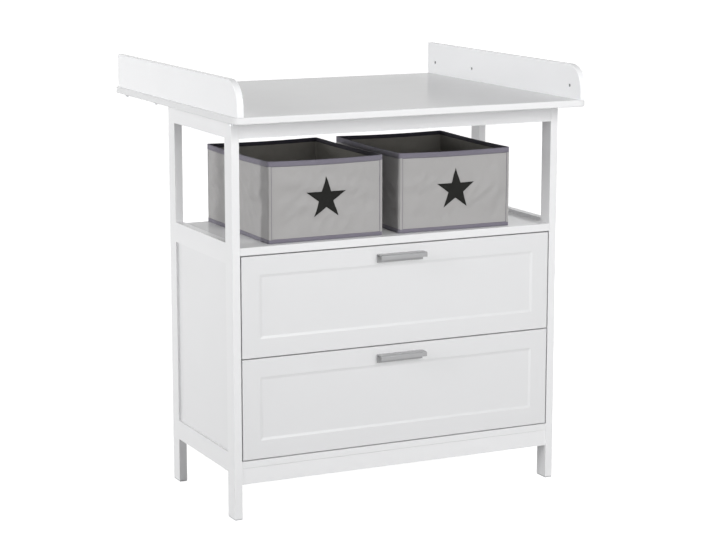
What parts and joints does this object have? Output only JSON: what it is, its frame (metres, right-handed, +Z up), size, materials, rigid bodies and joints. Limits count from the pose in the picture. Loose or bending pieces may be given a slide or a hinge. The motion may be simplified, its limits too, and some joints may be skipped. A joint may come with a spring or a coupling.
{
  "type": "changing dresser",
  "caption": "White changing dresser with cheeked changing board, open compartment holding fabric boxes and drawers on roller runners.",
  "frame": {"origin": "on the floor under the middle of the changing board, which is the widest and deepest piece", "axes": "+X to the right as seen from the front, +Y to the back, +Z up; the drawers open towards -Y"},
  "size_m": [0.89, 0.77, 1.012],
  "materials": {
    "white_lacquer": "satin white lacquer on board and pine",
    "white_hardboard": "matt white foil on thin fibreboard",
    "glide_plastic": "fine grain",
    "wheel_nylon": "plain",
    "runner_steel": "white powder coat",
    "zinc_steel": "zinc plated",
    "handle_metal": "satin anodised",
    "box_fabric": "plain woven polyester",
    "box_lining": "thin non-woven lining"
  },
  "bodies": {
    "frame": {"front_left_post": "white_lacquer", "front_right_post": "white_lacquer", "back_left_post": "white_lacquer", "back_right_post": "white_lacquer", "foot_glides": "glide_plastic", "left_top_rail": "white_lacquer", "right_top_rail": "white_lacquer", "left_middle_rail": "white_lacquer", "right_middle_rail": "white_lacquer", "left_bottom_rail": "white_lacquer", "right_bottom_rail": "white_lacquer", "left_side_panel": "white_lacquer", "right_side_panel": "white_lacquer", "front_top_rail": "white_lacquer", "back_top_rail": "white_lacquer", "front_apron": "white_lacquer", "middle_shelf": "white_lacquer", "bottom_board": "white_lacquer", "back_panel": "white_hardboard", "changing_board": "white_lacquer", "left_cheek": "white_lacquer", "right_cheek": "white_lacquer", "cheek_bolts": "zinc_steel", "lower_left_cabinet_runner": "runner_steel", "lower_right_cabinet_runner": "runner_steel", "upper_left_cabinet_runner": "runner_steel", "upper_right_cabinet_runner": "runner_steel"},
    "upper_drawer": {"upper_drawer_front": "white_lacquer", "upper_drawer_left_side": "white_lacquer", "upper_drawer_right_side": "white_lacquer", "upper_drawer_back": "white_lacquer", "upper_drawer_bottom": "white_hardboard", "upper_handle": "handle_metal", "upper_drawer_left_rail": "runner_steel", "upper_drawer_right_rail": "runner_steel"},
    "upper_front_rollers": {"upper_front_wheels": "wheel_nylon"},
    "upper_rear_rollers": {"upper_rear_wheels": "wheel_nylon"},
    "lower_drawer": {"lower_drawer_front": "white_lacquer", "lower_drawer_left_side": "white_lacquer", "lower_drawer_right_side": "white_lacquer", "lower_drawer_back": "white_lacquer", "lower_drawer_bottom": "white_hardboard", "lower_handle": "handle_metal", "lower_drawer_left_rail": "runner_steel", "lower_drawer_right_rail": "runner_steel"},
    "lower_front_rollers": {"lower_front_wheels": "wheel_nylon"},
    "lower_rear_rollers": {"lower_rear_wheels": "wheel_nylon"},
    "left_storage_box": {"left_box_shell": "box_fabric", "left_box_card": "box_lining"},
    "right_storage_box": {"right_box_shell": "box_fabric", "right_box_card": "box_lining"}
  },
  "joints": [
    {"name": "upper_drawer_slide", "type": "slide", "parent": "frame", "child": "upper_drawer", "axis": [0, -1, 0], "range_m": [0, 0.26]},
    {"name": "upper_front_roller_spin", "type": "hinge", "parent": "frame", "child": "upper_front_rollers", "pos_m": [0, -0.265, 0.40715], "axis": [1, 0, 0], "range_deg": [0, 1656]},
    {"name": "upper_rear_roller_spin", "type": "hinge", "parent": "upper_drawer", "child": "upper_rear_rollers", "pos_m": [0, 0.063, 0.40715], "axis": [1, 0, 0], "range_deg": [0, 1656]},
    {"name": "lower_drawer_slide", "type": "slide", "parent": "frame", "child": "lower_drawer", "axis": [0, -1, 0], "range_m": [0, 0.26]},
    {"name": "lower_front_roller_spin", "type": "hinge", "parent": "frame", "child": "lower_front_rollers", "pos_m": [0, -0.265, 0.171], "axis": [1, 0, 0], "range_deg": [0, 1656]},
    {"name": "lower_rear_roller_spin", "type": "hinge", "parent": "lower_drawer", "child": "lower_rear_rollers", "pos_m": [0, 0.063, 0.171], "axis": [1, 0, 0], "range_deg": [0, 1656]},
    {"name": "left_box_slide", "type": "slide", "parent": "frame", "child": "left_storage_box", "axis": [0, -1, 0], "range_m": [0, 0.3]},
    {"name": "right_box_slide", "type": "slide", "parent": "frame", "child": "right_storage_box", "axis": [0, -1, 0], "range_m": [0, 0.3]}
  ],
  "couplings": [
    {"joint": "upper_front_roller_spin", "follows": "upper_drawer_slide", "rad_per_m": 111.11},
    {"joint": "upper_rear_roller_spin", "follows": "upper_drawer_slide", "rad_per_m": 111.11},
    {"joint": "lower_front_roller_spin", "follows": "lower_drawer_slide", "rad_per_m": 111.11},
    {"joint": "lower_rear_roller_spin", "follows": "lower_drawer_slide", "rad_per_m": 111.11}
  ]
}
